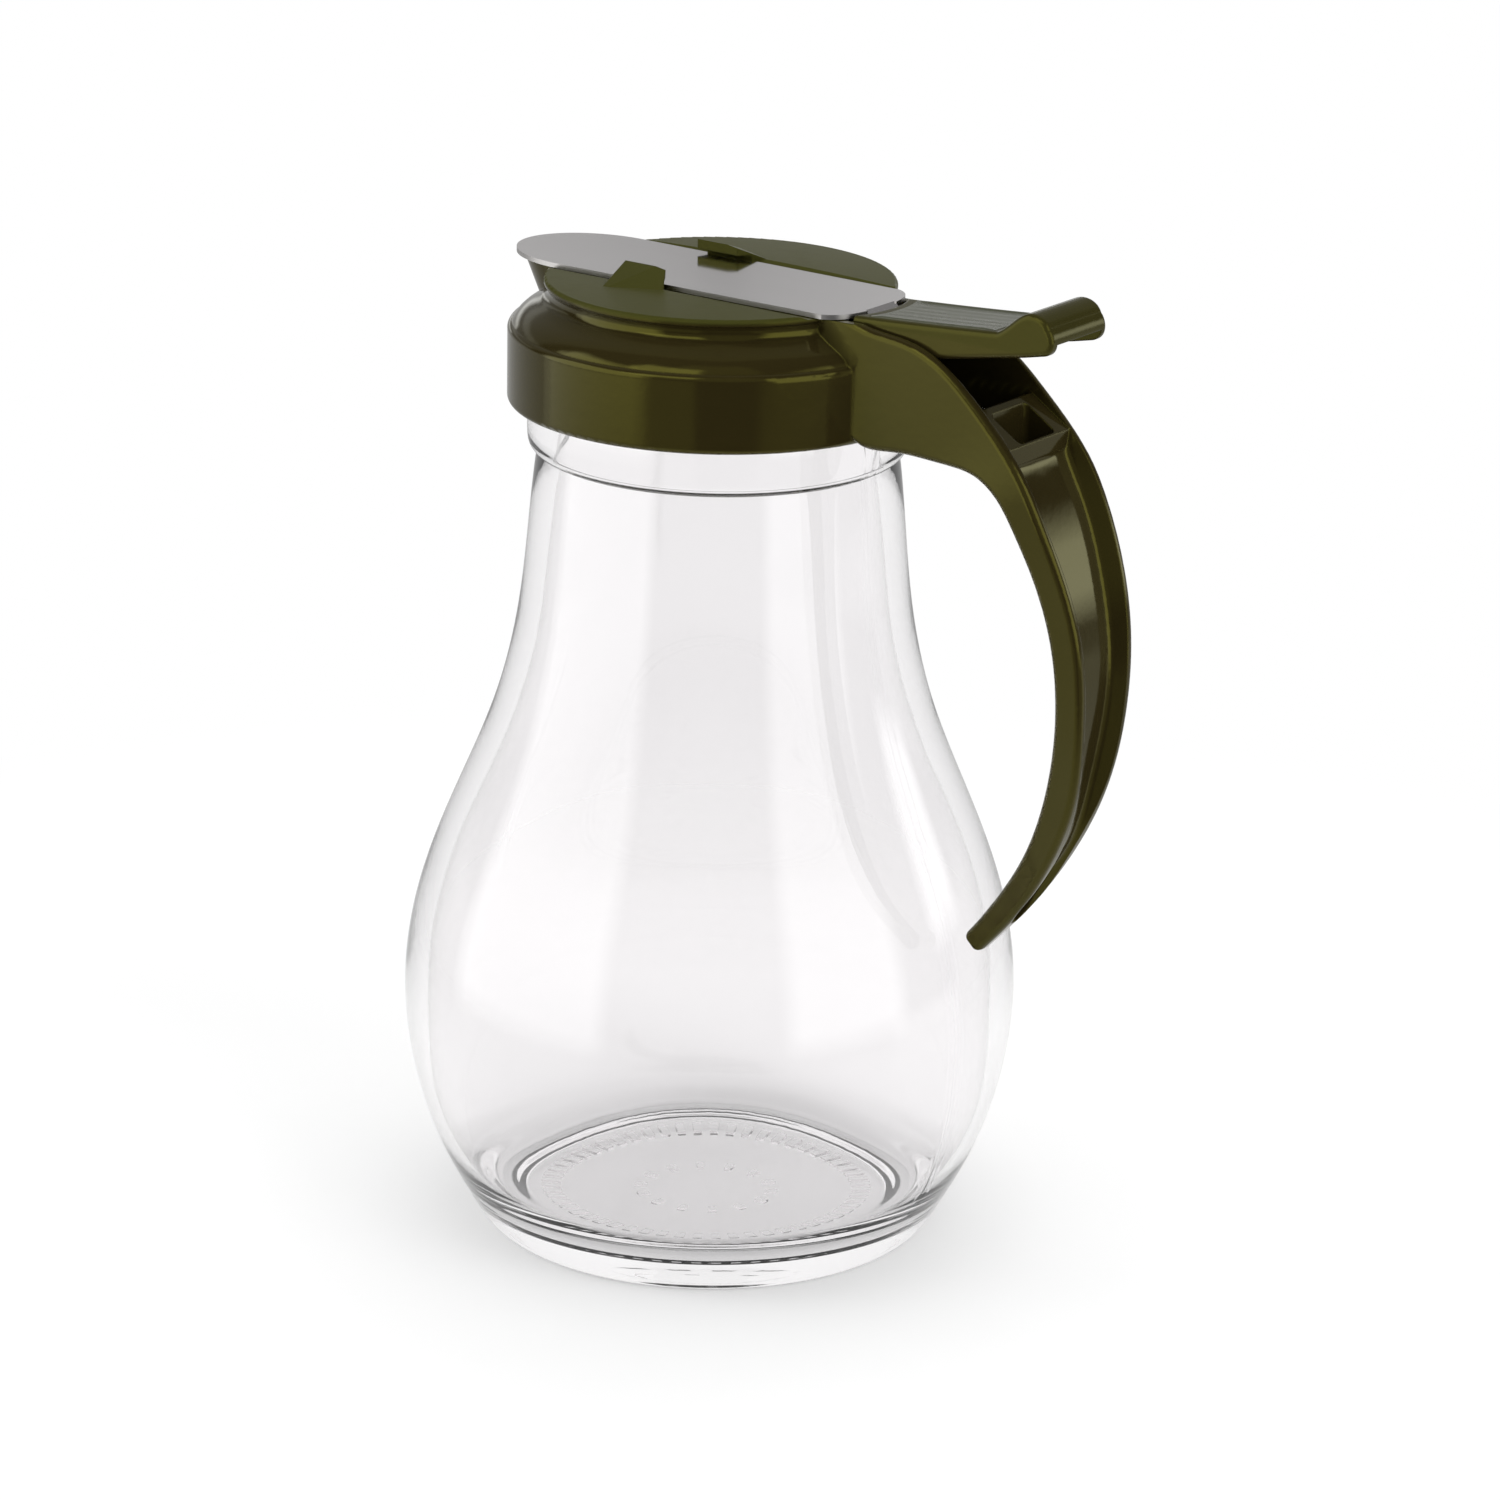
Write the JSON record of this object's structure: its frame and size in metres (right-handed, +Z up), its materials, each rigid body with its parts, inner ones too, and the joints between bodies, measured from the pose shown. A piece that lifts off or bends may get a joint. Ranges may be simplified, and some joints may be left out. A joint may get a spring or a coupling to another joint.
{
  "type": "syrup dispenser",
  "caption": "Bulb-shaped glass pouring jar with a screw cap, channel handle and a spring-returned sliding cut-off plate worked by a thumb lever.",
  "frame": {"origin": "centre of the jar's base on the plane it stands on", "axes": "+Z up, +X towards the handle, so the pouring lip points along -X; the part is symmetric about Y = 0"},
  "size_m": [0.1134, 0.091, 0.1488],
  "materials": {
    "clear_glass": "clear pressed glass",
    "seal_rubber": "soft matt elastomer",
    "olive_plastic": "glossy olive-brown moulded plastic",
    "stainless": "polished stainless sheet",
    "spring_wire": "drawn spring wire"
  },
  "bodies": {
    "jar": {"glass_jar": "clear_glass"},
    "cap_seal": {"sealing_ring": "seal_rubber"},
    "cap": {"cap_body": "olive_plastic"},
    "slide": {"cutoff_slide": "stainless", "thumb_lever": "olive_plastic", "return_spring": "spring_wire"}
  },
  "joints": [
    {"name": "cap_lift", "type": "slide", "parent": "jar", "child": "cap_seal", "axis": [0, 0, 1], "range_m": [0, 0.00525]},
    {"name": "cap_turn", "type": "hinge", "parent": "cap_seal", "child": "cap", "pos_m": [0, 0, 0.1362], "axis": [0, 0, 1], "range_deg": [0, 450]},
    {"name": "slide_pull", "type": "slide", "parent": "cap", "child": "slide", "axis": [1, 0, 0], "range_m": [0, 0.01], "stiffness_N_per_m": 500, "springref_m": -0.0025, "deforming": ["return_spring"]}
  ],
  "couplings": [
    {"joint": "cap_lift", "follows": "cap_turn", "m_per_rad": 0.000668}
  ]
}
